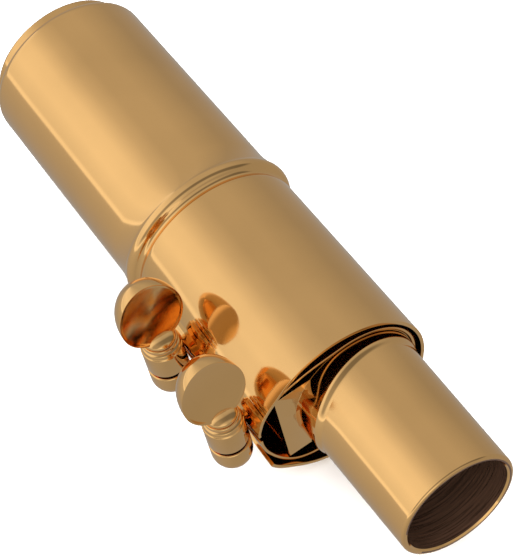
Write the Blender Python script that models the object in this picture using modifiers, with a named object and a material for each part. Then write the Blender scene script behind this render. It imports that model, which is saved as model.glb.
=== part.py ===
"""Alto saxophone mouthpiece with a two-screw ligature and a slotted metal cap.

The cap, the ligature and the mouthpiece share one direction, world X, which
points from the cap's closed end to the mouthpiece's shank. The thumbscrews point
up, and the table and the cap's slot face -Y. The origin is on the floor, below
the middle of the whole. Lengths along X below are measured from the cap's rim.
"""
import math

import bmesh
import bpy
from mathutils import Vector

MM = 0.001
COLLECTION = "saxophone_ligature"

# ---- driving dimensions, mm ----
RIM_RADIUS = 13.2           # cap skirt, outside, at the open rim
SKIRT_RADIUS = 12.75        # cap skirt, outside, next to the bead
SKIRT_LENGTH = 31.2
SHEET = 0.5                 # cap wall
BEAD_RADIUS = 13.5          # the widest part, which stands on the floor
TUBE_RADIUS = 12.65         # cap tube, outside, next to the bead
FAR_RADIUS = 12.2           # cap tube, outside, at the closed end
SHOULDER = 1.7              # rounding of the closed end
CAP_LENGTH = 71.3
DISC_RADIUS = 10.7
DISC_THICKNESS = 1.7
SLOT_HALF_WIDTH = 5.0
SLOT_LENGTH = 28.0
FLARE = 0.7                 # the skirt springs out this far at the slot's mouth

BODY_OFFSET = 2.2           # the mouthpiece sits this far off the cap axis, away from the slot
SHANK_RADIUS = 9.0
SHANK_END = 23.2
BORE_RADIUS = 8.0
BORE_DEPTH = 27.0
THROAT_RADIUS = 6.0
BODY_RADIUS = 9.45
BODY_REAR = -0.8            # where the body's rear face is
COLLAR_BACK = 1.7           # end of the collar round the shank, away from the table
COLLAR_FRONT = 4.9          # and on the table's side
BEAK_START = -30.0
TIP = -63.0
TIP_HALF_WIDTH = 6.3
TIP_THICKNESS = 1.3
TABLE_HEIGHT = 11.8         # table above the mouthpiece axis
TABLE_HALF_WIDTH = 7.3      # at the rear face
TABLE_DRAW_IN = 1.0         # how much narrower the table is from 20 mm further on
FACING_LENGTH = 21.0
FACING_DROP = 1.85
WINDOW_START = -30.0

BAND_THICKNESS = 0.4
BAND_RADIUS = 9.8           # middle of the sheet
BAND_REAR = -0.6
BAND_LENGTH = 23.0
SPLIT_GAP = 0.7             # between the two halves of every clamp post
SPLIT_AT = 1.4              # middle of the split, above the cap axis

POST_RADIUS = 2.9
POST_SIDE = 16.1            # post axis from the cap axis, towards -Y
POST_TOP = 6.9              # heights from here on are from the cap axis
POST_BOTTOM = -4.0
POST_PLACES = {"rear": -3.8, "front": -18.9}
ROD_RADIUS = 1.2
RUNNING_FIT = 0.1
ROD_TIP = -4.6
WASHER_THICKNESS = 0.7
WASHER_RADIUS = 2.5
GRIP_CENTRE = 13.3
GRIP_HALF_WIDTH = 4.75
GRIP_HALF_HEIGHT = 5.3
GRIP_BACK = 5.2             # rounded back of the grip from the screw axis
GRIP_LEAN = 10.0            # degrees that the dished face leans back
GRIP_DISH = 0.6             # depth of the dish

ROUND = 64                  # segments of the large turned pieces


# ---- helpers ----
def clear():
    for thing in list(bpy.data.objects):
        bpy.data.objects.remove(thing, do_unlink=True)


def collection(name):
    group = bpy.data.collections.get(name) or bpy.data.collections.new(name)
    if group.name not in bpy.context.scene.collection.children:
        bpy.context.scene.collection.children.link(group)
    return group


def material(name, colour, rough, metallic=1.0):
    made = bpy.data.materials.new(name)
    made.use_nodes = True
    shader = made.node_tree.nodes["Principled BSDF"]
    shader.inputs["Base Color"].default_value = (*colour, 1.0)
    shader.inputs["Metallic"].default_value = metallic
    shader.inputs["Roughness"].default_value = rough
    return made


def place(name, work, origin, paint=None, turn=(0, 0, 0)):
    """Make an object of a bmesh written in mm. Without a material it is a hidden cutter."""
    bmesh.ops.scale(work, vec=(MM, MM, MM), verts=work.verts)
    mesh = bpy.data.meshes.new(name)
    work.to_mesh(mesh)
    work.free()
    thing = bpy.data.objects.new(name, mesh)
    thing.location = Vector(origin) * MM
    thing.rotation_euler = turn
    if paint:
        mesh.materials.append(paint)
    else:
        thing.hide_render = True
        thing.display_type = "WIRE"
    collection(COLLECTION if paint else "cutters").objects.link(thing)
    return thing


def turned(name, profile, origin, segments, paint=None, turn=(0, 0, 0)):
    """Turn (height, radius) points about the object's own Z. Ends off the axis are joined up."""
    closed = profile[0][1] > 0 and profile[-1][1] > 0
    loop = profile + profile[:1]
    area = sum(a[1] * b[0] - a[0] * b[1] for a, b in zip(loop, loop[1:]))
    points = profile if area < 0 else profile[::-1]
    work = bmesh.new()
    rows = [work.verts.new((radius, 0, height)) for height, radius in points]
    for a, b in zip(rows, rows[1:] + rows[:1] if closed else rows[1:]):
        work.edges.new((a, b))
    thing = place(name, work, origin, paint, turn)
    spin = thing.modifiers.new("turn", "SCREW")
    spin.steps = segments
    spin.render_steps = segments
    spin.use_merge_vertices = True
    spin.merge_threshold = 0.00001
    return thing


def loft(name, sections, origin, paint=None):
    """Join rings of equal point counts, and close both ends."""
    work = bmesh.new()
    rings = [[work.verts.new(p) for p in ring] for ring in sections]
    for ring, after in zip(rings, rings[1:]):
        for k in range(len(ring)):
            work.faces.new([ring[k - 1], ring[k], after[k], after[k - 1]])
    work.faces.new(rings[0])
    work.faces.new(rings[-1])
    bmesh.ops.recalc_face_normals(work, faces=work.faces)
    return place(name, work, origin, paint)


def combine(thing, other, operation="DIFFERENCE"):
    step = thing.modifiers.new(other.name, "BOOLEAN")
    step.operation = operation
    step.solver = "EXACT"
    step.object = other


def settle(thing):
    """Apply the modifiers, and shade smooth up to a crease."""
    graph = bpy.context.evaluated_depsgraph_get()
    mesh = bpy.data.meshes.new_from_object(thing.evaluated_get(graph))
    thing.modifiers.clear()
    thing.data = mesh
    mesh.shade_smooth()
    mesh.set_sharp_from_angle(angle=math.radians(35))


def arc(centre, radius, start, stop, steps):
    turns = [math.radians(start + (stop - start) * k / steps) for k in range(steps + 1)]
    return [(centre[0] + radius * math.cos(t), centre[1] + radius * math.sin(t)) for t in turns]


def blend(a, b, t):
    t = min(max(t, 0.0), 1.0)
    return a + (b - a) * t * t * (3 - 2 * t)


# ---- places of the two axes at the cap's rim, from the middle of the whole ----
ALONG_X = (0, math.pi / 2, 0)
RIM_X = (CAP_LENGTH + RUNNING_FIT + DISC_THICKNESS - SHANK_END) / 2
CAP_Y = (POST_SIDE + GRIP_HALF_WIDTH - BEAD_RADIUS) / 2
CAP_AXIS = (RIM_X, CAP_Y, BEAD_RADIUS)
BODY_AXIS = (RIM_X, CAP_Y + BODY_OFFSET, BEAD_RADIUS)


# ---- cap ----
def cap_profile():
    """Inside from the closed end to the rim, then the outside back."""
    bead = -SKIRT_LENGTH - 1.9
    corner = (-CAP_LENGTH + SHOULDER, FAR_RADIUS - SHOULDER)
    inside = [(-CAP_LENGTH + SHEET, 0.0)] + arc(corner, SHOULDER - SHEET, 180, 90, 4)
    inside += [(bead - 4.6, TUBE_RADIUS - SHEET), (bead - 2.0, TUBE_RADIUS - SHEET + 0.12)]
    inside += [(bead, BEAD_RADIUS - SHEET - 0.1), (bead + 1.2, SKIRT_RADIUS - SHEET - 0.1)]
    inside += [(-SKIRT_LENGTH + 0.4, SKIRT_RADIUS - SHEET), (-0.12, RIM_RADIUS - SHEET)]
    rim = [(0.0, RIM_RADIUS - SHEET + 0.14), (0.0, RIM_RADIUS - 0.14), (-0.12, RIM_RADIUS)]
    outside = [(-SKIRT_LENGTH + 0.35, SKIRT_RADIUS), (-SKIRT_LENGTH, SKIRT_RADIUS - 0.3)]
    outside += arc((bead, BEAD_RADIUS - 1.1), 1.1, 40, 125, 6)
    for k in range(1, 6):
        t = k / 5
        rise = (1 - t) ** 2 * (BEAD_RADIUS - 0.25 - TUBE_RADIUS)
        outside.append((bead - 0.75 - t * 3.85, TUBE_RADIUS + rise))
    outside += arc(corner, SHOULDER, 90, 180, 6)
    return inside + rim + outside + [(-CAP_LENGTH, 0.0)]


def slot_cutter():
    """A long round-ended block standing across the slot side of the skirt."""
    end = -SLOT_LENGTH + SLOT_HALF_WIDTH
    outline = [(3.0, -SLOT_HALF_WIDTH)] + arc((end, 0.0), SLOT_HALF_WIDTH, 270, 90, 14)
    outline += [(3.0, SLOT_HALF_WIDTH)]
    return loft("slot_cutter", [[(x, y, z) for x, z in outline] for y in (-8.5, -16.0)], CAP_AXIS)


def flare(x, side, up):
    """How far the skirt springs out, beside the slot and towards its mouth."""
    away = math.degrees(math.atan2(abs(up), side))
    return FLARE * blend(0.0, 1.0, (48 - away) / 26) * blend(0.0, 1.0, (x + SLOT_LENGTH) / SLOT_LENGTH)


def cap(gold):
    shell = turned("cap_shell", cap_profile(), CAP_AXIS, ROUND, gold, ALONG_X)
    combine(shell, slot_cutter())
    settle(shell)
    for v in shell.data.vertices:
        x, side, up = v.co.z / MM, -v.co.y / MM, -v.co.x / MM
        grown = 1 + flare(x, side, up) / max(math.hypot(side, up), 1.0)
        v.co.x *= grown
        v.co.y *= grown
    near = -CAP_LENGTH - RUNNING_FIT
    far = near - DISC_THICKNESS
    profile = [(near, 0.0), (near, DISC_RADIUS - 0.1), (near - 0.1, DISC_RADIUS)]
    profile += arc((far + 0.7, DISC_RADIUS - 0.7), 0.7, 90, 180, 4) + [(far, 0.0)]
    turned("cap_end_disc", profile, CAP_AXIS, ROUND, gold, ALONG_X)


# ---- mouthpiece, in (along, towards the table, up) ----
def table_at(x):
    """Table height: flat, then the facing curve down to the tip."""
    t = max(0.0, TIP + FACING_LENGTH - x) / FACING_LENGTH
    return TABLE_HEIGHT - FACING_DROP * t * t


def beak_at(x):
    """Where the straight beak cuts the barrel, from the mouthpiece axis."""
    t = max(0.0, BEAK_START - x) / (BEAK_START - TIP)
    return -BODY_RADIUS + t * (table_at(TIP) - TIP_THICKNESS + BODY_RADIUS)


def width_at(x):
    """Half width of the whole slice, drawn in along the beak and rounded at the tip."""
    t = (BEAK_START - x) / (BEAK_START - TIP)
    half = blend(BODY_RADIUS, TIP_HALF_WIDTH, t)
    nose = max(0.0, (TIP + 3.0 - x) / 3.0)
    return half * math.sqrt(1 - 0.6 * nose * nose)


def keyhole(x):
    """Outline of a slice: a block under the table, joined to a round barrel.

    Along the beak the whole outline is squashed between the beak and the table.
    """
    radius = width_at(x)
    drawn_in = TABLE_DRAW_IN * min(1.0, max(0.0, BODY_REAR - x) / 20)
    half = min(TABLE_HALF_WIDTH - drawn_in, radius - 0.1)
    top = table_at(x)
    low = beak_at(x)
    corner = math.sqrt(radius ** 2 - half ** 2)
    start = math.degrees(math.atan2(half, corner))
    outline = [(top, half * k / 4) for k in range(-4, 5)]
    outline += [(top + (corner - top) * k / 4, half) for k in range(1, 4)]
    outline += arc((0, 0), radius, start, 360 - start, 40)
    outline += [(corner + (top - corner) * k / 4, -half) for k in range(1, 4)]
    return [(low + (side + radius) * (top - low) / (top + radius), up) for side, up in outline]


def body_ring(x):
    return [(x, -side, up) for side, up in keyhole(x)]


def rear_ring(x, share, radius):
    """A slice behind the body: part of the way from the shank's circle to the keyhole."""
    ring = []
    for side, up in keyhole(BODY_REAR):
        size = math.hypot(side, up)
        reach = radius + share * (size - radius)
        ring.append((x, -side / size * reach, up / size * reach))
    return ring


def collar_ring(back, radius):
    """A ring round the shank, at a distance back from the collar's slanting end."""
    ring = []
    for side, up in keyhole(BODY_REAR):
        size = math.hypot(side, up)
        lean = ((1 + side / size) / 2) ** 2.2
        x = COLLAR_BACK + (COLLAR_FRONT - COLLAR_BACK) * lean - back
        ring.append((x, -side / size * radius, up / size * radius))
    return ring


def body_sections():
    """From the rounded end of the shank, over the collar, to the tip."""
    collar = BODY_RADIUS - 0.05
    rings = [rear_ring(x, 0.0, r) for x, r in arc((SHANK_END - 0.5, SHANK_RADIUS - 0.5), 0.5, 0, 90, 4)]
    rings += [collar_ring(0.0, SHANK_RADIUS), collar_ring(0.25, SHANK_RADIUS + 0.05)]
    rings += [collar_ring(1.2, collar - 0.08), collar_ring(1.6, collar)]
    rings += [rear_ring(BODY_REAR, 0.0, collar), rear_ring(BODY_REAR, 0.97, collar)]
    rings += [body_ring(x) for x in (BODY_REAR - 0.15, BODY_REAR - 20, BEAK_START)]
    rings += [body_ring(BEAK_START + (TIP + 3.0 - BEAK_START) * k / 12) for k in range(1, 13)]
    return rings + [body_ring(TIP + x) for x in (1.8, 0.8, 0.2, 0.0)]


def bore_profile():
    """The neck socket with its bevelled mouth, then the narrower throat."""
    floor = SHANK_END - BORE_DEPTH
    profile = [(SHANK_END + 2.0, 0.0), (SHANK_END + 2.0, BORE_RADIUS + 2.25)]
    profile += [(SHANK_END - 0.25, BORE_RADIUS), (floor, BORE_RADIUS), (floor - 1.0, THROAT_RADIUS)]
    return profile + [(-33.0, THROAT_RADIUS - 0.4), (-36.0, 3.0), (-37.0, 0.0)]


def rounded_box(x, half, floor, top):
    """A slice of the window: open above the table, with two round lower corners."""
    soft = min(1.4, (top - floor) * 0.3)
    outline = [(top, -half), (top, half)]
    outline += arc((floor + soft, half - soft), soft, 90, 180, 4)
    outline += arc((floor + soft, -half + soft), soft, 180, 270, 4)
    return [(x, -side, up) for side, up in outline]


def window_cutter():
    """The window through the table, with a floor that climbs to the tip."""
    rings = []
    for k in range(11):
        t = k / 10
        x = WINDOW_START + (TIP + 1.6 - WINDOW_START) * t
        floor = blend(-4.0, table_at(x) - 1.5, 0.12 + 0.88 * t)
        rings.append(rounded_box(x, 4.4 + 0.6 * t, floor, TABLE_HEIGHT + 3.0))
    return loft("window_cutter", rings, BODY_AXIS)


def plate(name, grow, paint=None):
    """The bite plate, or the recess that it lies in, square to the sloping beak."""
    slope = math.atan2(beak_at(-50.0) - beak_at(-40.0), 10.0)
    middle = (RIM_X - 50.0, BODY_AXIS[1] - beak_at(-50.0), BEAD_RADIUS)
    outline = arc((-3.6, 0.0), 3.9 + grow, 90, 270, 12) + arc((3.6, 0.0), 3.9 + grow, -90, 90, 12)
    work = bmesh.new()
    floor = work.faces.new([work.verts.new((x, -0.9 - grow, z)) for x, z in outline])
    made = bmesh.ops.extrude_face_region(work, geom=[floor])
    raised = [v for v in made["geom"] if isinstance(v, bmesh.types.BMVert)]
    bmesh.ops.translate(work, vec=(0, 0.95 + 5 * grow, 0), verts=raised)
    bmesh.ops.recalc_face_normals(work, faces=work.faces)
    return place(name, work, middle, paint, (0, 0, slope))


def mouthpiece(gold, rubber):
    body = loft("mouthpiece_body", body_sections(), BODY_AXIS, gold)
    combine(body, turned("bore_cutter", bore_profile(), BODY_AXIS, 64, None, ALONG_X))
    combine(body, window_cutter())
    combine(body, plate("bite_recess", 0.3))
    plate("bite_plate", 0.0, rubber)


# ---- ligature ----
def band_upper(t):
    """The sheet from the far wall to the split, seen along the cap axis, as (side, up).

    t goes from 0 at the rear edge to 1 at the front edge, where the sheet is drawn in.
    """
    tip = POST_SIDE - POST_RADIUS - 0.3
    line = arc((-BODY_OFFSET, 0.0), BAND_RADIUS, 180, 90, 16)
    line += [(2.8, 9.6), (4.9, 9.3 - 0.1 * t), (6.8, 8.85 - 0.25 * t), (9.2 - 0.3 * t, 8.1 - 0.4 * t)]
    line += [(11.0 - 0.7 * t, 6.6 - 0.5 * t), (11.9 - 0.7 * t, 5.0 - 0.7 * t), (12.6 - 0.4 * t, 3.4 - 0.4 * t)]
    return line + [(tip, SPLIT_AT + 1.2), (tip, SPLIT_AT + SPLIT_GAP / 2 + 0.2)]


def band_lower(t):
    """The other half, which lies closer to the skirt."""
    tip = POST_SIDE - POST_RADIUS - 0.3
    line = arc((-BODY_OFFSET, 0.0), BAND_RADIUS, 180, 95, 15)
    line += [(1.6, 10.0), (4.6, 10.15 - 0.15 * t), (7.0 - 0.1 * t, 9.6 - 0.4 * t)]
    line += [(8.9 - 0.1 * t, 8.5 - 0.5 * t), (10.3 - 0.2 * t, 7.0 - 0.7 * t), (11.6 - 0.6 * t, 4.8 - 0.5 * t)]
    line += [(12.6 - 0.3 * t, 2.2), (tip, 0.3), (tip, SPLIT_GAP / 2 + 0.2 - SPLIT_AT)]
    return [(side, -up) for side, up in line]


def band(gold):
    """One open strip of sheet, given its thickness on both sides."""
    work = bmesh.new()
    rows = []
    for x, t in ((BAND_REAR, 0.0), (BAND_REAR - BAND_LENGTH, 1.0)):
        line = band_lower(t)[::-1] + band_upper(t)[1:]
        rows.append([work.verts.new((x, -side, up)) for side, up in line])
    for k in range(1, len(rows[0])):
        work.faces.new([rows[0][k - 1], rows[0][k], rows[1][k], rows[1][k - 1]])
    strip = place("ligature_band", work, CAP_AXIS, gold)
    sheet = strip.modifiers.new("sheet", "SOLIDIFY")
    sheet.thickness = BAND_THICKNESS * MM
    sheet.offset = 0.0
    sheet.use_even_offset = True


def upper_post(name, origin, gold):
    hole = ROD_RADIUS + RUNNING_FIT
    low = SPLIT_AT + SPLIT_GAP / 2
    profile = [(POST_TOP - 0.1, hole), (POST_TOP, hole + 0.1), (POST_TOP, POST_RADIUS - 0.6)]
    profile += [(POST_TOP - 0.2, POST_RADIUS - 0.25), (POST_TOP - 0.75, POST_RADIUS - 0.18)]
    profile += [(POST_TOP - 0.9, POST_RADIUS), (low + 0.15, POST_RADIUS), (low, POST_RADIUS - 0.15)]
    turned(name, profile + [(low, hole)], origin, 28, gold)


def lower_post(name, origin, gold):
    """The domed half, drawn with a plain hole in place of its thread."""
    hole = ROD_RADIUS + RUNNING_FIT
    top = SPLIT_AT - SPLIT_GAP / 2
    dome = POST_BOTTOM + 2.7
    profile = [(top, hole), (top, POST_RADIUS - 0.15), (top - 0.15, POST_RADIUS)]
    for k in range(6):
        turn = math.radians(62 * k / 5)
        profile.append((dome + (POST_BOTTOM - dome) * math.sin(turn) / math.sin(math.radians(62)),
                        POST_RADIUS * math.cos(turn)))
    turned(name, profile + [(POST_BOTTOM, hole)], origin, 28, gold)


# ---- thumbscrews ----
def rod(name, origin, brass):
    """The threaded rod, drawn at its outer size without the thread."""
    top = POST_TOP + 2 * RUNNING_FIT + WASHER_THICKNESS + 0.7
    profile = [(top, 0.0), (top, ROD_RADIUS), (ROD_TIP + 0.4, ROD_RADIUS)]
    turned(name, profile + [(ROD_TIP, ROD_RADIUS - 0.4), (ROD_TIP, 0.0)], origin, 20, brass)


def washer(name, origin, gold):
    low = POST_TOP + RUNNING_FIT
    top = low + WASHER_THICKNESS
    hole = ROD_RADIUS + RUNNING_FIT
    profile = [(top, hole), (top, WASHER_RADIUS - 0.12), (top - 0.12, WASHER_RADIUS)]
    profile += [(low + 0.12, WASHER_RADIUS), (low, WASHER_RADIUS - 0.12), (low, hole)]
    turned(name, profile, origin, 28, gold)


def grip(name, origin, gold):
    """Half an egg behind a leaning dished face, on a collar that holds the rod."""
    work = bmesh.new()
    bmesh.ops.create_uvsphere(work, u_segments=28, v_segments=16, radius=1.0)
    for v in work.verts:
        v.co.y *= GRIP_HALF_WIDTH * (1 - 0.06 * v.co.z)
        v.co.x *= GRIP_BACK
        v.co.z = GRIP_CENTRE + v.co.z * GRIP_HALF_HEIGHT
    egg = place(name, work, origin, gold)
    wide = GRIP_HALF_HEIGHT
    dish = (wide ** 2 + GRIP_DISH ** 2) / (2 * GRIP_DISH)
    reach = dish - GRIP_DISH
    lean = math.radians(GRIP_LEAN)
    ball = bmesh.new()
    bmesh.ops.create_uvsphere(ball, u_segments=56, v_segments=36, radius=dish)
    centre = (reach * math.cos(lean), 0, GRIP_CENTRE + reach * math.sin(lean))
    bmesh.ops.translate(ball, vec=centre, verts=ball.verts)
    combine(egg, place(name + "_dish", ball, origin))
    seat = POST_TOP + 2 * RUNNING_FIT + WASHER_THICKNESS
    hole = ROD_RADIUS + RUNNING_FIT
    stem = [(seat + 1.3, 0.0), (seat + 1.1, 1.35), (seat + 0.85, 1.85), (seat + 0.3, 2.3), (seat, 2.3)]
    combine(egg, turned(name + "_stem", stem + [(seat, 0.0)], origin, 24), "UNION")
    socket = [(seat + 0.8, 0.0), (seat + 0.8, hole), (seat - 1.0, hole), (seat - 1.0, 0.0)]
    combine(egg, turned(name + "_socket", socket, origin, 20))


def main():
    clear()
    gold = material("gold_lacquer", (0.80, 0.55, 0.24), 0.08)
    brass = material("rod_brass", (0.78, 0.60, 0.34), 0.2)
    rubber = material("bite_rubber", (0.02, 0.02, 0.02), 0.45, 0.0)
    cap(gold)
    mouthpiece(gold, rubber)
    band(gold)
    for where, x in POST_PLACES.items():
        origin = (RIM_X + x, CAP_Y - POST_SIDE, BEAD_RADIUS)
        upper_post(f"upper_post_{where}", origin, gold)
        lower_post(f"lower_post_{where}", origin, gold)
        rod(f"screw_rod_{where}", origin, brass)
        washer(f"screw_washer_{where}", origin, gold)
        grip(f"thumb_grip_{where}", origin, gold)
    for thing in bpy.data.collections[COLLECTION].objects:
        settle(thing)


main()
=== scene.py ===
"""The looks of the saxophone mouthpiece, its ligature and its cap.

Every CAD node is replaced by a finer piece of the same size. Lengths are in mm,
along the cap's axis from its open rim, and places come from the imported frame.
"""
import math

import bmesh
import bpy
from mathutils import Matrix, Vector

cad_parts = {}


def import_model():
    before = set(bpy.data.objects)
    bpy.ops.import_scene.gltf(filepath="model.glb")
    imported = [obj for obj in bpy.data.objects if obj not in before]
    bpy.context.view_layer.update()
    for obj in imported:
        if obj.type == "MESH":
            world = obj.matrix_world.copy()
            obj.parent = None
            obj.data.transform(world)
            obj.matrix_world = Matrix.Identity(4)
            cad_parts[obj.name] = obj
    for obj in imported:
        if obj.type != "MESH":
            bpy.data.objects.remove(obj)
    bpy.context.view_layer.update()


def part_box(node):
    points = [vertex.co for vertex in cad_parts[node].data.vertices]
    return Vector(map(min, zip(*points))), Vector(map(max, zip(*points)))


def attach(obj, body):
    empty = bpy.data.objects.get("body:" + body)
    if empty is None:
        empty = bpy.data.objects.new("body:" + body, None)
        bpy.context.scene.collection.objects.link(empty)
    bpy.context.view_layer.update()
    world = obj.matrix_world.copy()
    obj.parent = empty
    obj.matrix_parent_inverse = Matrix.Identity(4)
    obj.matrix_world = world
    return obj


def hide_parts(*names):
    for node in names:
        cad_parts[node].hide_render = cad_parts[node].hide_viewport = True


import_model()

MM = 0.001

# ---- cap, mm ----
RIM_RADIUS = 13.2
SKIRT_RADIUS = 12.75
SKIRT_LENGTH = 31.2
SHEET = 0.5
BEAD_RADIUS = 13.5
TUBE_RADIUS = 12.65
FAR_RADIUS = 12.2
SHOULDER = 1.7
CAP_LENGTH = 71.3
DISC_RADIUS = 10.7
DISC_THICKNESS = 1.7
SLOT_HALF_WIDTH = 5.0
SLOT_LENGTH = 28.0
FLARE = 0.7

# ---- mouthpiece, mm ----
BODY_OFFSET = 2.2
SHANK_RADIUS = 9.0
SHANK_END = 23.2
BORE_RADIUS = 8.0
BORE_DEPTH = 27.0
THROAT_RADIUS = 6.0
BODY_RADIUS = 9.45
BODY_REAR = -0.8
COLLAR_BACK = 1.7
COLLAR_FRONT = 4.9
BEAK_START = -30.0
TIP = -63.0
TIP_HALF_WIDTH = 6.3
TIP_THICKNESS = 1.3
TABLE_HEIGHT = 11.8
TABLE_HALF_WIDTH = 7.3
TABLE_DRAW_IN = 1.0
FACING_LENGTH = 21.0
FACING_DROP = 1.85
WINDOW_START = -30.0

# ---- ligature and screws, mm ----
BAND_THICKNESS = 0.4
BAND_RADIUS = 9.8
BAND_REAR = -0.6
BAND_LENGTH = 23.0
BAND_ROWS = 12              # steps from the rear edge of the sheet to the front one
UPPER_ARC = 60              # steps of the round stretch of each half of the sheet
LOWER_ARC = 58
SPLIT_GAP = 0.7
SPLIT_AT = 1.4
POST_RADIUS = 2.9
POST_SIDE = 16.1
POST_TOP = 6.9
POST_BOTTOM = -4.0
POST_PLACES = {"rear": -3.8, "front": -18.9}
ROD_RADIUS = 1.2
RUNNING_FIT = 0.1
ROD_TIP = -4.6
ROD_INTO_GRIP = 0.7
THREAD_PITCH = 0.5
THREAD_DEPTH = 0.13
WASHER_THICKNESS = 0.7
WASHER_RADIUS = 2.5
GRIP_CENTRE = 13.3
GRIP_HALF_WIDTH = 4.75
GRIP_HALF_HEIGHT = 5.3
GRIP_BACK = 5.2
GRIP_LEAN = 10.0
GRIP_DISH = 0.6
SEAT = POST_TOP + 2 * RUNNING_FIT + WASHER_THICKNESS     # underside of the grip's collar
ROD_HOLE = ROD_RADIUS + RUNNING_FIT

ROUND = 192                 # segments of the large turned pieces
SMALL = 72                  # segments of the small turned pieces

ALONG_X = (0, math.pi / 2, 0)
low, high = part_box("cap_end_disc")
RIM_X = low[0] / MM + CAP_LENGTH + RUNNING_FIT + DISC_THICKNESS
CAP_Y = (low[1] + high[1]) / 2 / MM
AXIS_Z = (low[2] + high[2]) / 2 / MM
CAP_AXIS = (RIM_X, CAP_Y, AXIS_Z)
BODY_AXIS = (RIM_X, CAP_Y + BODY_OFFSET, AXIS_Z)


# ---- making pieces ----
def finish_mesh(thing, sharp=32):
    """Apply the modifiers and shade the result smooth, with sharp edges kept."""
    bpy.context.view_layer.update()
    graph = bpy.context.evaluated_depsgraph_get()
    mesh = bpy.data.meshes.new_from_object(thing.evaluated_get(graph))
    thing.modifiers.clear()
    thing.data = mesh
    mesh.shade_smooth()
    mesh.set_sharp_from_angle(angle=math.radians(sharp))


def place(name, work, origin, turn=(0, 0, 0)):
    bmesh.ops.scale(work, vec=(MM, MM, MM), verts=work.verts)
    mesh = bpy.data.meshes.new(name)
    work.to_mesh(mesh)
    work.free()
    thing = bpy.data.objects.new(name, mesh)
    thing.location = Vector(origin) * MM
    thing.rotation_euler = turn
    bpy.context.scene.collection.objects.link(thing)
    return thing


def add(thing, kind, **values):
    made = thing.modifiers.new(kind.lower(), kind)
    for key, value in values.items():
        setattr(made, key, value)
    return made


def bevel(thing, width, segments=3, angle=35):
    add(thing, "BEVEL", width=width * MM, segments=segments, angle_limit=math.radians(angle),
        limit_method="ANGLE", harden_normals=False, use_clamp_overlap=True)


def stands_for(thing, node, body, paint):
    thing.data.materials.clear()
    thing.data.materials.append(paint)
    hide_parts(node)
    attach(thing, body)


def turned(name, profile, origin, segments, turn=(0, 0, 0)):
    """Turn (height, radius) points about the object's own Z. Ends off the axis are joined up."""
    closed = profile[0][1] > 0 and profile[-1][1] > 0
    loop = profile + profile[:1]
    area = sum(a[1] * b[0] - a[0] * b[1] for a, b in zip(loop, loop[1:]))
    points = profile if area < 0 else profile[::-1]
    work = bmesh.new()
    rows = [work.verts.new((radius, 0, height)) for height, radius in points]
    for a, b in zip(rows, rows[1:] + rows[:1] if closed else rows[1:]):
        work.edges.new((a, b))
    thing = place(name, work, origin, turn)
    add(thing, "SCREW", steps=segments, render_steps=segments, use_merge_vertices=True,
        merge_threshold=0.000002)
    return thing


def loft(name, sections, origin):
    """Join rings of points in (along, across, up) into one closed skin."""
    work = bmesh.new()
    rings = [[work.verts.new(p) for p in ring] for ring in sections]
    for ring, after in zip(rings, rings[1:]):
        for k in range(len(ring)):
            work.faces.new([ring[k - 1], ring[k], after[k], after[k - 1]])
    work.faces.new(rings[0])
    work.faces.new(rings[-1])
    bmesh.ops.recalc_face_normals(work, faces=work.faces)
    return place(name, work, origin)


def cut(thing, cutter):
    """Cut at once, and remove the cutter."""
    add(thing, "BOOLEAN", operation="DIFFERENCE", solver="EXACT", object=cutter)
    finish_mesh(thing)
    bpy.data.objects.remove(cutter, do_unlink=True)


def arc(centre, radius, start, stop, steps):
    turns = [math.radians(start + (stop - start) * k / steps) for k in range(steps + 1)]
    return [(centre[0] + radius * math.cos(t), centre[1] + radius * math.sin(t)) for t in turns]


def blend(a, b, t):
    t = min(max(t, 0.0), 1.0)
    return a + (b - a) * t * t * (3 - 2 * t)


def bent(before, corner, after, radius, share, steps):
    """A curve in place of a corner, using at most a share of the lines on each side."""
    c = Vector(corner)
    to_a = Vector(before) - c
    to_b = Vector(after) - c
    reach = min(radius, to_a.length * share, to_b.length * share)
    start = c + to_a.normalized() * reach
    stop = c + to_b.normalized() * reach
    shares = [k / steps for k in range(steps + 1)]
    return [tuple(start * (1 - t) ** 2 + c * 2 * t * (1 - t) + stop * t ** 2) for t in shares]


def softened(profile, radius=0.08):
    """Round every sharp corner of a profile a little, so that edges catch the light."""
    out = [profile[0]]
    for before, corner, after in zip(profile, profile[1:], profile[2:]):
        to_a = Vector(before) - Vector(corner)
        to_b = Vector(after) - Vector(corner)
        opening = to_a.angle(to_b, math.pi)
        if opening > math.radians(155) or corner[1] <= 0:
            out.append(corner)
        else:
            out += bent(before, corner, after, radius, 0.4, 3)
    return out + [profile[-1]]


# ---- materials ----
def ramp_of(tree, stops):
    node = tree.nodes.new("ShaderNodeValToRGB")
    node.color_ramp.elements[0].position = stops[0][0]
    node.color_ramp.elements[0].color = stops[0][1]
    node.color_ramp.elements[1].position = stops[-1][0]
    node.color_ramp.elements[1].color = stops[-1][1]
    for position, colour in stops[1:-1]:
        node.color_ramp.elements.new(position).color = colour
    return node


class Nodes:
    """A short way to write a node tree."""

    def __init__(self, name):
        self.material = bpy.data.materials.new(name)
        self.material.use_nodes = True
        self.tree = self.material.node_tree
        self.shader = self.tree.nodes["Principled BSDF"]

    def make(self, kind, **values):
        node = self.tree.nodes.new(kind)
        for key, value in values.items():
            if hasattr(node, key):
                setattr(node, key, value)
            else:
                node.inputs[key.replace("_", " ")].default_value = value
        return node

    def link(self, source, target, out=0):
        self.tree.links.new(source.outputs[out], target)

    def ramp(self, source, stops, out=0):
        node = ramp_of(self.tree, stops)
        self.link(source, node.inputs["Fac"], out)
        return node


OBJECT_PLACE = 3            # the Texture Coordinate node's output for the object's own place


def grey(v):
    return (v, v, v, 1.0)


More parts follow.
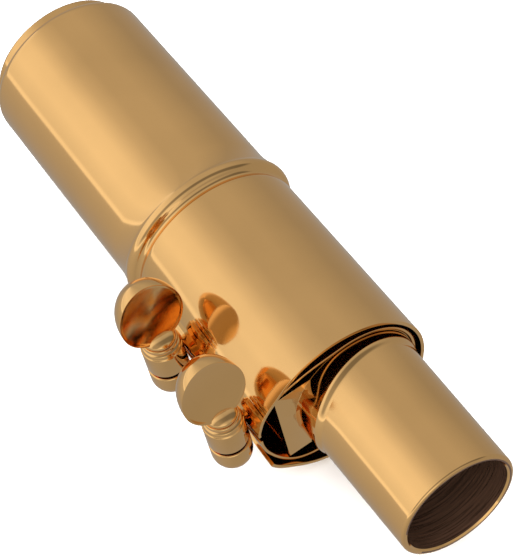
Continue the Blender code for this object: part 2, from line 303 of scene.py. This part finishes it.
def gold(name, colour, rough):
    """Polished brass under gold lacquer: faint haze, hairlines and a slight drift of colour."""
    n = Nodes(name)
    n.shader.inputs["Metallic"].default_value = 1.0
    n.shader.inputs["Coat Weight"].default_value = 0.12
    n.shader.inputs["Coat Roughness"].default_value = 0.04
    place_in = n.make("ShaderNodeTexCoord")
    cloud = n.make("ShaderNodeTexNoise", Scale=55.0, Detail=3.0, Roughness=0.55)
    n.link(place_in, cloud.inputs["Vector"], OBJECT_PLACE)
    deep = tuple(c * 0.93 for c in colour)
    drift = n.ramp(cloud, [(0.35, (*deep, 1.0)), (0.65, (*colour, 1.0))])
    n.link(drift, n.shader.inputs["Base Color"])
    hair = n.make("ShaderNodeTexNoise", Scale=1400.0, Detail=4.0, Roughness=0.6)
    n.link(place_in, hair.inputs["Vector"], OBJECT_PLACE)
    haze = n.ramp(hair, [(0.30, grey(rough * 0.75)), (0.75, grey(rough * 1.5))])
    n.link(haze, n.shader.inputs["Roughness"])
    bump = n.make("ShaderNodeBump", Strength=0.02, Distance=0.00002)
    n.link(hair, bump.inputs["Height"])
    n.link(bump, n.shader.inputs["Normal"])
    return n.material


def turned_bore(name, colour, rough):
    """The inside of the socket: fine turning marks round the bore, a little dull. The dark colour it is given
    is painted shade.
    """
    n = Nodes(name)
    n.shader.inputs["Metallic"].default_value = 0.55
    place_in = n.make("ShaderNodeTexCoord")
    marks = n.make("ShaderNodeTexWave", Scale=900.0, Distortion=0.4, Detail=1.0)
    marks.wave_type = "BANDS"
    marks.bands_direction = "X"
    n.link(place_in, marks.inputs["Vector"], OBJECT_PLACE)
    squeeze = n.make("ShaderNodeMapping")
    squeeze.inputs["Scale"].default_value = (9.0, 0.35, 0.35)
    n.link(place_in, squeeze.inputs["Vector"], OBJECT_PLACE)
    spots = n.make("ShaderNodeTexNoise", Scale=420.0, Detail=4.0)
    n.link(squeeze, spots.inputs["Vector"])
    dark = tuple(c * 0.42 for c in colour)
    tone = n.ramp(spots, [(0.34, (*dark, 1.0)), (0.66, (*colour, 1.0))])
    n.link(tone, n.shader.inputs["Base Color"])
    haze = n.ramp(spots, [(0.35, grey(rough * 0.8)), (0.7, grey(rough * 1.3))])
    n.link(haze, n.shader.inputs["Roughness"])
    bump = n.make("ShaderNodeBump", Strength=0.25, Distance=0.00004)
    n.link(marks, bump.inputs["Height"])
    n.link(bump, n.shader.inputs["Normal"])
    return n.material


def hard_rubber(name):
    """Black and a little matt, with a fine uneven surface."""
    n = Nodes(name)
    place_in = n.make("ShaderNodeTexCoord")
    fine = n.make("ShaderNodeTexNoise", Scale=900.0, Detail=5.0)
    n.link(place_in, fine.inputs["Vector"], OBJECT_PLACE)
    tone = n.ramp(fine, [(0.3, (0.010, 0.010, 0.011, 1)), (0.7, (0.026, 0.025, 0.024, 1))])
    n.link(tone, n.shader.inputs["Base Color"])
    haze = n.ramp(fine, [(0.3, grey(0.28)), (0.7, grey(0.42))])
    n.link(haze, n.shader.inputs["Roughness"])
    bump = n.make("ShaderNodeBump", Strength=0.12, Distance=0.00003)
    n.link(fine, bump.inputs["Height"])
    n.link(bump, n.shader.inputs["Normal"])
    return n.material


# ---- cap ----
def cap_outline():
    """Outside of the cap from the rim to the middle of the closed end, as (along, radius)."""
    bead = -SKIRT_LENGTH - 1.9
    corner = (-CAP_LENGTH + SHOULDER, FAR_RADIUS - SHOULDER)
    slot_round = -SLOT_LENGTH + SLOT_HALF_WIDTH
    steps = [0.0, -0.1, -0.3, -2.0, -8.0, -14.0, -20.0, slot_round]
    steps += [slot_round - SLOT_HALF_WIDTH * math.sin(math.radians(5 * k)) for k in range(1, 19)]
    steps += [-SLOT_LENGTH - 0.4, -SLOT_LENGTH - 1.5, -SKIRT_LENGTH + 0.9]
    slope = (RIM_RADIUS - SKIRT_RADIUS) / SKIRT_LENGTH
    line = [(x, RIM_RADIUS + slope * x) for x in steps]
    line += [(-SKIRT_LENGTH + 0.45, SKIRT_RADIUS - 0.02), (-SKIRT_LENGTH + 0.2, SKIRT_RADIUS - 0.1)]
    line += [(-SKIRT_LENGTH, SKIRT_RADIUS - 0.26), (-SKIRT_LENGTH - 0.25, SKIRT_RADIUS - 0.36)]
    line += [(-SKIRT_LENGTH - 0.55, SKIRT_RADIUS - 0.30)]
    line += arc((bead, BEAD_RADIUS - 1.1), 1.1, 20, 125, 16)
    for k in range(1, 17):
        t = k / 16
        rise = (1 - t) ** 2 * (BEAD_RADIUS - 0.25 - TUBE_RADIUS)
        line.append((bead - 0.75 - t * 3.85, TUBE_RADIUS + rise))
    line += [(x, TUBE_RADIUS - (TUBE_RADIUS - FAR_RADIUS) * (bead - 4.6 - x) / 32.0) for x in (-45, -55, -65)]
    line += arc(corner, SHOULDER, 90, 180, 14)
    return line + [(-CAP_LENGTH, r) for r in (8.0, 5.0, 2.0, 0.3)]


def slot_edge(x, radius):
    """Angle from the slot's middle line to its edge, at a distance from the rim."""
    depth = max(0.0, -x - (SLOT_LENGTH - SLOT_HALF_WIDTH))
    if depth >= SLOT_HALF_WIDTH - 1e-6:
        return 0.0
    return math.asin(math.sqrt(SLOT_HALF_WIDTH ** 2 - depth ** 2) / radius)


def flare(x, side, up):
    """How far the skirt springs out, beside the slot and towards its mouth."""
    away = math.degrees(math.atan2(abs(up), side))
    return FLARE * blend(0.0, 1.0, (48 - away) / 26) * blend(0.0, 1.0, (x + SLOT_LENGTH) / SLOT_LENGTH)


def cap_shell(paint):
    """One sheet wrapped round from one edge of the slot to the other, then thickened."""
    work = bmesh.new()
    rows = []
    for x, radius in cap_outline():
        edge = slot_edge(x, radius)
        row = []
        for k in range(ROUND + 1):
            turn = edge + (2 * math.pi - 2 * edge) * k / ROUND
            out = radius + flare(x, math.cos(turn), math.sin(turn))
            row.append(work.verts.new((x, -out * math.cos(turn), out * math.sin(turn))))
        rows.append(row)
    for row, after in zip(rows, rows[1:]):
        for k in range(ROUND):
            work.faces.new([row[k], row[k + 1], after[k + 1], after[k]])
    work.faces.new(rows[-1][:-1])
    bmesh.ops.remove_doubles(work, verts=work.verts, dist=0.0005)
    bmesh.ops.recalc_face_normals(work, faces=work.faces)
    shell = place("cap_shell_fine", work, CAP_AXIS)
    add(shell, "SOLIDIFY", thickness=SHEET * MM, offset=-1.0, use_even_offset=True)
    bevel(shell, 0.1, 3, 60)
    finish_mesh(shell, 40)
    stands_for(shell, "cap_shell", "cap", paint)


def cap_disc(paint):
    near = -CAP_LENGTH - RUNNING_FIT
    far = near - DISC_THICKNESS
    profile = [(near, 0.0), (near, DISC_RADIUS - 0.1), (near - 0.1, DISC_RADIUS)]
    profile += arc((far + 0.7, DISC_RADIUS - 0.7), 0.7, 90, 180, 12) + [(far, 0.0)]
    disc = turned("cap_end_disc_fine", profile, CAP_AXIS, ROUND, ALONG_X)
    finish_mesh(disc, 35)
    stands_for(disc, "cap_end_disc", "cap", paint)


# ---- mouthpiece, in (along, towards the table, up) ----
def table_at(x):
    t = max(0.0, TIP + FACING_LENGTH - x) / FACING_LENGTH
    return TABLE_HEIGHT - FACING_DROP * t * t


def beak_at(x):
    t = max(0.0, BEAK_START - x) / (BEAK_START - TIP)
    return -BODY_RADIUS + t * (table_at(TIP) - TIP_THICKNESS + BODY_RADIUS)


def width_at(x):
    t = (BEAK_START - x) / (BEAK_START - TIP)
    half = blend(BODY_RADIUS, TIP_HALF_WIDTH, t)
    nose = max(0.0, (TIP + 3.0 - x) / 3.0)
    return half * math.sqrt(1 - 0.6 * nose * nose)


def keyhole(x):
    """Outline of a slice: a block under the table, joined to a round barrel."""
    radius = width_at(x)
    drawn_in = TABLE_DRAW_IN * min(1.0, max(0.0, BODY_REAR - x) / 20)
    half = min(TABLE_HALF_WIDTH - drawn_in, radius - 0.1)
    top = table_at(x)
    base = beak_at(x)
    corner = math.sqrt(radius ** 2 - half ** 2)
    start = math.degrees(math.atan2(half, corner))
    outline = [(top, half * k / 8) for k in range(-8, 9)]
    outline += [(top + (corner - top) * k / 8, half) for k in range(1, 8)]
    outline += arc((0, 0), radius, start, 360 - start, 150)
    outline += [(corner + (top - corner) * k / 8, -half) for k in range(1, 8)]
    return [(base + (side + radius) * (top - base) / (top + radius), up) for side, up in outline]


def body_ring(x):
    return [(x, -side, up) for side, up in keyhole(x)]


def rear_ring(x, share, radius):
    """A slice behind the body: part of the way from the shank's circle to the keyhole."""
    ring = []
    for side, up in keyhole(BODY_REAR):
        size = math.hypot(side, up)
        reach = radius + share * (size - radius)
        ring.append((x, -side / size * reach, up / size * reach))
    return ring


def collar_ring(back, radius):
    """A ring round the shank, at a distance back from the collar's slanting end."""
    ring = []
    for side, up in keyhole(BODY_REAR):
        size = math.hypot(side, up)
        lean = ((1 + side / size) / 2) ** 2.2
        x = COLLAR_BACK + (COLLAR_FRONT - COLLAR_BACK) * lean - back
        ring.append((x, -side / size * radius, up / size * radius))
    return ring


def body_sections():
    collar = BODY_RADIUS - 0.05
    rings = [rear_ring(x, 0.0, r) for x, r in arc((SHANK_END - 0.5, SHANK_RADIUS - 0.5), 0.5, 0, 90, 8)]
    rings += [rear_ring(x, 0.0, SHANK_RADIUS) for x in (18.0, 12.0, 7.0)]
    rings += [collar_ring(back, SHANK_RADIUS + (collar - SHANK_RADIUS) * blend(0.0, 1.0, back / 1.3))
              for back in (0.0, 0.15, 0.3, 0.45, 0.6, 0.75, 0.9, 1.05, 1.2, 1.3)]
    rings += [rear_ring(BODY_REAR + 0.12, 0.0, collar), rear_ring(BODY_REAR + 0.03, 0.012, collar)]
    rings += [rear_ring(BODY_REAR, 0.03, collar), rear_ring(BODY_REAR, 0.975, collar)]
    rings += [rear_ring(BODY_REAR - 0.03, 0.995, collar)]
    rings += [body_ring(x) for x in (BODY_REAR - 0.12, -7.0, -14.0, BODY_REAR - 20, BEAK_START)]
    rings += [body_ring(BEAK_START + (TIP + 3.0 - BEAK_START) * k / 30) for k in range(1, 31)]
    return rings + [body_ring(TIP + x) for x in (2.4, 1.8, 1.2, 0.8, 0.4, 0.15, 0.0)]


def bore_profile():
    floor = SHANK_END - BORE_DEPTH
    profile = [(SHANK_END + 2.0, 0.0), (SHANK_END + 2.0, BORE_RADIUS + 2.25)]
    profile += [(SHANK_END - 0.25, BORE_RADIUS), (floor, BORE_RADIUS), (floor - 1.0, THROAT_RADIUS)]
    return profile + [(-33.0, THROAT_RADIUS - 0.4), (-36.0, 3.0), (-37.0, 0.0)]


def rounded_box(x, half, floor, top):
    soft = min(1.4, (top - floor) * 0.3)
    outline = [(top, -half), (top, half)]
    outline += arc((floor + soft, half - soft), soft, 90, 180, 8)
    outline += arc((floor + soft, -half + soft), soft, 180, 270, 8)
    return [(x, -side, up) for side, up in outline]


def window_cutter():
    rings = []
    for k in range(25):
        t = k / 24
        x = WINDOW_START + (TIP + 1.6 - WINDOW_START) * t
        floor = blend(-4.0, table_at(x) - 1.5, 0.12 + 0.88 * t)
        rings.append(rounded_box(x, 4.4 + 0.6 * t, floor, TABLE_HEIGHT + 3.0))
    return loft("window_cutter", rings, BODY_AXIS)


def plate(name, grow, steps=12):
    slope = math.atan2(beak_at(-50.0) - beak_at(-40.0), 10.0)
    middle = (RIM_X - 50.0, BODY_AXIS[1] - beak_at(-50.0), AXIS_Z)
    outline = arc((-3.6, 0.0), 3.9 + grow, 90, 270, steps) + arc((3.6, 0.0), 3.9 + grow, -90, 90, steps)
    work = bmesh.new()
    floor = work.faces.new([work.verts.new((x, -0.9 - grow, z)) for x, z in outline])
    made = bmesh.ops.extrude_face_region(work, geom=[floor])
    raised = [v for v in made["geom"] if isinstance(v, bmesh.types.BMVert)]
    bmesh.ops.translate(work, vec=(0, 0.95 + 5 * grow, 0), verts=raised)
    bmesh.ops.recalc_face_normals(work, faces=work.faces)
    return place(name, work, middle, (0, 0, slope))


def mouthpiece(paint, bore_shade_paint, rubber):
    body = loft("mouthpiece_fine", body_sections(), BODY_AXIS)
    cut(body, turned("bore_cutter", bore_profile(), BODY_AXIS, ROUND, ALONG_X))
    cut(body, window_cutter())
    cut(body, plate("bite_recess", 0.3))
    stands_for(body, "mouthpiece_body", "mouthpiece", paint)
    # The faces inside the bore take the dark brown that is painted shade for the deep socket.
    body.data.materials.append(bore_shade_paint)
    floor = (SHANK_END - BORE_DEPTH - 1.1) * MM
    for face in body.data.polygons:
        out = math.hypot(face.center.y, face.center.z)
        if face.center.x > floor and out < (BORE_RADIUS + 0.02) * MM:
            face.material_index = 1
    bite = plate("bite_plate_fine", 0.0, 40)
    bevel(bite, 0.15, 4)
    finish_mesh(bite, 45)
    stands_for(bite, "bite_plate", "mouthpiece", rubber)


# ---- ligature ----
def band_upper(t):
    """Half the sheet, from the far wall to the split, as (side, up) from the cap's axis.

    t runs from 0 at the sheet's rear edge to 1 at its front edge, where it is drawn in a little.
    """
    tip = POST_SIDE - POST_RADIUS - 0.3
    line = arc((-BODY_OFFSET, 0.0), BAND_RADIUS, 180, 90, UPPER_ARC)
    line += [(0.3, 9.72), (2.8, 9.6), (4.9, 9.3 - 0.1 * t), (6.8, 8.85 - 0.25 * t)]
    line += [(9.2 - 0.3 * t, 8.1 - 0.4 * t), (11.0 - 0.7 * t, 6.6 - 0.5 * t)]
    line += [(11.9 - 0.7 * t, 5.0 - 0.7 * t), (12.6 - 0.4 * t, 3.4 - 0.4 * t)]
    return line + [(tip, SPLIT_AT + 1.2), (tip, SPLIT_AT + SPLIT_GAP / 2 + 0.2)]


def band_lower(t):
    """The other half, which lies closer to the skirt."""
    tip = POST_SIDE - POST_RADIUS - 0.3
    line = arc((-BODY_OFFSET, 0.0), BAND_RADIUS, 180, 95, LOWER_ARC)
    line += [(1.6, 10.0), (4.6, 10.15 - 0.15 * t), (7.0 - 0.1 * t, 9.6 - 0.4 * t)]
    line += [(8.9 - 0.1 * t, 8.5 - 0.5 * t), (10.3 - 0.2 * t, 7.0 - 0.7 * t), (11.6 - 0.6 * t, 4.8 - 0.5 * t)]
    line += [(12.6 - 0.3 * t, 2.2), (tip, 0.3), (tip, SPLIT_GAP / 2 + 0.2 - SPLIT_AT)]
    return [(side, -up) for side, up in line]


def rounded_line(line):
    """Bend the sheet round its corners instead of folding it sharply."""
    out = [line[0]]
    for before, corner, after in zip(line, line[1:], line[2:]):
        out += bent(before, corner, after, 1.6, 0.48, 6)
    return out + [line[-1]]


def band_line(t):
    """Across the sheet, from its lower end round the mouthpiece to its upper end."""
    lower = band_lower(t)
    upper = band_upper(t)
    line = rounded_line(lower[LOWER_ARC:][::-1]) + lower[:LOWER_ARC - 1][::-1]
    return line + upper[1:UPPER_ARC] + rounded_line(upper[UPPER_ARC:])


def band(paint):
    work = bmesh.new()
    rows = []
    for k in range(BAND_ROWS + 1):
        t = k / BAND_ROWS
        x = BAND_REAR - BAND_LENGTH * t
        rows.append([work.verts.new((x, -side, up)) for side, up in band_line(t)])
    for row, after in zip(rows, rows[1:]):
        for k in range(1, len(row)):
            work.faces.new([row[k - 1], row[k], after[k], after[k - 1]])
    strip = place("ligature_band_fine", work, CAP_AXIS)
    add(strip, "SOLIDIFY", thickness=BAND_THICKNESS * MM, offset=0.0, use_even_offset=True)
    bevel(strip, 0.09, 3, 60)
    finish_mesh(strip, 40)
    stands_for(strip, "ligature_band", "ligature", paint)


def upper_post(where, origin, paint):
    """From the split up to a neck and a rounded top edge."""
    end = SPLIT_AT + SPLIT_GAP / 2
    profile = [(POST_TOP - 0.1, ROD_HOLE), (POST_TOP, ROD_HOLE + 0.1), (POST_TOP, POST_RADIUS - 0.6)]
    profile += [(POST_TOP - 0.2, POST_RADIUS - 0.25), (POST_TOP - 0.75, POST_RADIUS - 0.18)]
    profile += [(POST_TOP - 0.9, POST_RADIUS), (end + 0.15, POST_RADIUS)]
    profile += [(end, POST_RADIUS - 0.15), (end, ROD_HOLE)]
    upper = turned(f"upper_post_{where}_fine", softened(profile, 0.1), origin, SMALL)
    finish_mesh(upper, 35)
    stands_for(upper, f"upper_post_{where}", "ligature", paint)


def lower_post(where, origin, paint):
    """From the split down to a domed end."""
    end = SPLIT_AT - SPLIT_GAP / 2
    dome = POST_BOTTOM + 2.7
    profile = [(end, ROD_HOLE), (end, POST_RADIUS - 0.15), (end - 0.15, POST_RADIUS)]
    full = math.radians(62)
    for k in range(25):
        turn = full * k / 24
        profile.append((dome + (POST_BOTTOM - dome) * math.sin(turn) / math.sin(full),
                        POST_RADIUS * math.cos(turn)))
    profile.append((POST_BOTTOM, ROD_HOLE))
    lower = turned(f"lower_post_{where}_fine", softened(profile, 0.1), origin, SMALL)
    finish_mesh(lower, 35)
    stands_for(lower, f"lower_post_{where}", "ligature", paint)


# ---- thumbscrews ----
def rod(where, origin, paint):
    """A helical thread below the washer, and a plain shank above it."""
    top = SEAT + ROD_INTO_GRIP
    steps = 8
    count = 24
    work = bmesh.new()
    rows = []
    height = ROD_TIP + 0.3
    while height <= top:
        row = []
        for k in range(count):
            phase = (height / THREAD_PITCH - k / count) % 1.0
            groove = THREAD_DEPTH * abs(2 * phase - 1) if height < POST_TOP + 1.0 else 0.0
            turn = 2 * math.pi * k / count
            size = ROD_RADIUS - groove
            row.append(work.verts.new((size * math.cos(turn), size * math.sin(turn), height)))
        rows.append(row)
        height += THREAD_PITCH / steps
    for row, after in zip(rows, rows[1:]):
        for k in range(count):
            work.faces.new([row[k - 1], row[k], after[k], after[k - 1]])
    work.faces.new(rows[-1])
    tip = [work.verts.new((v.co.x * 0.7, v.co.y * 0.7, ROD_TIP)) for v in rows[0]]
    for k in range(count):
        work.faces.new([tip[k - 1], tip[k], rows[0][k], rows[0][k - 1]])
    work.faces.new(tip)
    bmesh.ops.recalc_face_normals(work, faces=work.faces)
    thing = place(f"screw_rod_{where}_fine", work, origin)
    finish_mesh(thing, 50)
    stands_for(thing, f"screw_rod_{where}", f"screw_{where}", paint)


def washer(where, origin, paint):
    base = POST_TOP + RUNNING_FIT
    top = base + WASHER_THICKNESS
    profile = [(top, ROD_HOLE), (top, WASHER_RADIUS - 0.12), (top - 0.12, WASHER_RADIUS)]
    profile += [(base + 0.12, WASHER_RADIUS), (base, WASHER_RADIUS - 0.12), (base, ROD_HOLE)]
    thing = turned(f"screw_washer_{where}_fine", softened(profile), origin, SMALL)
    finish_mesh(thing, 35)
    stands_for(thing, f"screw_washer_{where}", f"washer_{where}", paint)


def egg_rings():
    """(depth, size) of the grip's rings: round the back, over the ridge, into the dished face."""
    rings = []
    for k in range(1, 37):
        turn = math.pi / 2 * (2 - k / 36)
        rings.append((GRIP_BACK * math.cos(turn), math.sin(turn)))
    rings += [(0.02, 0.994), (0.01, 0.975)]
    for k in range(1, 24):
        share = 0.97 * (1 - k / 24)
        rings.append((-GRIP_DISH * (1 - share * share), share))
    return rings


def egg_ring(deep, size, count=120):
    """One ring of the grip, leaning with the face and fading to upright at the back."""
    lean = math.tan(math.radians(GRIP_LEAN)) * (1 + min(0.0, deep) / GRIP_BACK)
    ring = []
    for k in range(count):
        turn = 2 * math.pi * k / count
        up = size * math.sin(turn)
        across = size * math.cos(turn) * GRIP_HALF_WIDTH * (1 - 0.06 * up)
        ring.append((deep - up * GRIP_HALF_HEIGHT * lean, across, GRIP_CENTRE + up * GRIP_HALF_HEIGHT))
    return ring


def grip(where, origin, paint):
    """Half an egg behind a leaning dished face."""
    egg = loft(f"thumb_grip_{where}_fine", [egg_ring(*ring) for ring in egg_rings()], origin)
    finish_mesh(egg, 40)
    stands_for(egg, f"thumb_grip_{where}", f"screw_{where}", paint)


def stem(where, origin, paint):
    """The grip's low domed collar, which holds the top of the rod."""
    socket = SEAT + ROD_INTO_GRIP + 0.1
    profile = [(SEAT + 1.30, 0.0), (SEAT + 1.25, 0.7), (SEAT + 1.1, 1.35), (SEAT + 0.85, 1.85)]
    profile += [(SEAT + 0.55, 2.2), (SEAT + 0.3, 2.3), (SEAT, 2.3)]
    profile += [(SEAT, ROD_HOLE), (socket, ROD_HOLE), (socket, 0.0)]
    neck = turned(f"thumb_stem_{where}", softened(profile, 0.12), origin, SMALL)
    finish_mesh(neck, 35)
    neck.data.materials.clear()
    neck.data.materials.append(paint)
    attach(neck, f"screw_{where}")


# ---- studio ----
def card(name, centre, target, size, strength):
    """A soft square light for the floor and the bore. The polished metal does not mirror it."""
    light = bpy.data.lights.new(name, "AREA")
    light.shape = "SQUARE"
    light.size = size
    light.energy = strength
    thing = bpy.data.objects.new(name, light)
    thing.location = centre
    aim = Vector(target) - Vector(centre)
    thing.rotation_euler = aim.to_track_quat("-Z", "Y").to_euler()
    thing.visible_glossy = False
    bpy.context.scene.collection.objects.link(thing)


def floor():
    """Plain and white. The metal mirrors the studio below the horizon instead of it."""
    mesh = bpy.data.meshes.new("floor")
    work = bmesh.new()
    bmesh.ops.create_grid(work, x_segments=1, y_segments=1, size=1.5)
    work.to_mesh(mesh)
    work.free()
    thing = bpy.data.objects.new("floor", mesh)
    thing.location = (0, 0, -0.0002)
    thing.visible_glossy = False
    paint = Nodes("floor_paint")
    paint.shader.inputs["Base Color"].default_value = (0.95, 0.95, 0.95, 1)
    paint.shader.inputs["Roughness"].default_value = 1.0
    paint.shader.inputs["Specular IOR Level"].default_value = 0.0
    mesh.materials.append(paint.material)
    bpy.context.scene.collection.objects.link(thing)


# The light round the object, by its angle above +Y about the cap's axis, in degrees.
# A broad soft box hangs over the screw side and ends in a bright edge. The rest is dimmer card.
# The levels are set so that the tubes are shaded as they are in the picture being matched.
LIGHT_ROUND = [(-180, 1.10), (-177.5, 1.10), (-175.5, 0.56), (-160, 0.50), (-110, 0.38), (0, 0.38)]
LIGHT_ROUND += [(50, 0.52), (80, 0.52), (100, 0.64), (125, 0.93), (150, 1.0), (175, 0.86)]
LIGHT_ROUND += [(178, 1.05), (180, 1.10)]
# A dimmer card stands beyond the shank. The first number runs from 0 towards -X to 1 towards +X.
LIGHT_ALONG = [(0.0, 1.0), (0.50, 1.0), (0.56, 0.9), (0.62, 0.42), (0.80, 0.42), (0.88, 1.0)]
# It stands above the horizon only. The first number runs from 0 straight down to 1 straight up.
CARD_ABOVE = [(0.0, 0.0), (0.52, 0.0), (0.60, 1.0)]


def scaled(tree, socket, factor):
    """A node that turns a value between -1 / (2 factor) and 1 / (2 factor) into 0 to 1."""
    node = tree.nodes.new("ShaderNodeMath")
    node.operation = "MULTIPLY_ADD"
    node.inputs[1].default_value = factor
    node.inputs[2].default_value = 0.5
    tree.links.new(socket, node.inputs[0])
    return node.outputs[0]


def light_ramp(tree, socket, stops):
    node = ramp_of(tree, stops)
    tree.links.new(socket, node.inputs["Fac"])
    return node.outputs["Color"]


def world():
    sky = bpy.data.worlds.new("studio")
    bpy.context.scene.world = sky
    sky.use_nodes = True
    tree = sky.node_tree
    where = tree.nodes.new("ShaderNodeTexCoord")
    parts = tree.nodes.new("ShaderNodeSeparateXYZ")
    tree.links.new(where.outputs["Generated"], parts.inputs[0])
    turn = tree.nodes.new("ShaderNodeMath")
    turn.operation = "ARCTAN2"
    tree.links.new(parts.outputs["Z"], turn.inputs[0])
    tree.links.new(parts.outputs["Y"], turn.inputs[1])
    warm = [((angle + 180) / 360, (v, v * 0.99, v * 0.97, 1)) for angle, v in LIGHT_ROUND]
    around = light_ramp(tree, scaled(tree, turn.outputs[0], 0.5 / math.pi), warm)
    along = light_ramp(tree, scaled(tree, parts.outputs["X"], 0.5), [(p, grey(v)) for p, v in LIGHT_ALONG])
    above = light_ramp(tree, scaled(tree, parts.outputs["Z"], 0.5), [(p, grey(v)) for p, v in CARD_ABOVE])
    mix = tree.nodes.new("ShaderNodeMix")
    mix.data_type = "RGBA"
    mix.blend_type = "MULTIPLY"
    tree.links.new(above, mix.inputs["Factor"])
    tree.links.new(around, mix.inputs[6])
    tree.links.new(along, mix.inputs[7])
    tree.links.new(mix.outputs[2], tree.nodes["Background"].inputs["Color"])


def camera():
    """Above the screws, on the side of the shank, turned a little about its own view."""
    distance = 0.4026
    azimuth = math.radians(-20.09)
    height = math.radians(57.13)
    roll = math.radians(-16.54)
    aim = Vector((RIM_X - 16.75, CAP_Y - 0.47, AXIS_Z + 9.53)) * MM
    away = Vector((math.cos(azimuth), math.sin(azimuth), math.tan(height))).normalized()
    eye = bpy.data.cameras.new("camera")
    eye.lens = 194.6
    eye.sensor_width = 36.0
    eye.clip_start = 0.01
    thing = bpy.data.objects.new("camera", eye)
    thing.location = aim + away * distance
    level = (-away).to_track_quat("-Z", "Y").to_matrix()
    thing.rotation_euler = (level @ Matrix.Rotation(roll, 3, "Z")).to_euler()
    bpy.context.scene.collection.objects.link(thing)
    bpy.context.scene.camera = thing


def main():
    lacquer = gold("lacquer", (0.93, 0.555, 0.215), 0.075)
    bright = gold("rod_metal", (0.86, 0.56, 0.26), 0.18)
    # The bore's dark brown is painted shade deep in the socket, not the colour of its metal.
    bore_shade_paint = turned_bore("bore_metal_painted_shade", (0.135, 0.070, 0.042), 0.30)
    rubber = hard_rubber("hard_rubber")
    cap_shell(lacquer)
    cap_disc(lacquer)
    mouthpiece(lacquer, bore_shade_paint, rubber)
    band(lacquer)
    for where, x in POST_PLACES.items():
        origin = (RIM_X + x, CAP_Y - POST_SIDE, AXIS_Z)
        upper_post(where, origin, lacquer)
        lower_post(where, origin, lacquer)
        rod(where, origin, bright)
        washer(where, origin, lacquer)
        grip(where, origin, lacquer)
        stem(where, origin, lacquer)
    floor()
    world()
    card("sky_card", (0.0, 0.0, 0.9), (0, 0, 0), 1.8, 34)
    card("front_card", (0.7, -0.25, 0.35), (0, 0, 0.01), 0.5, 3)
    bpy.context.scene.view_settings.view_transform = "Standard"
    camera()


main()
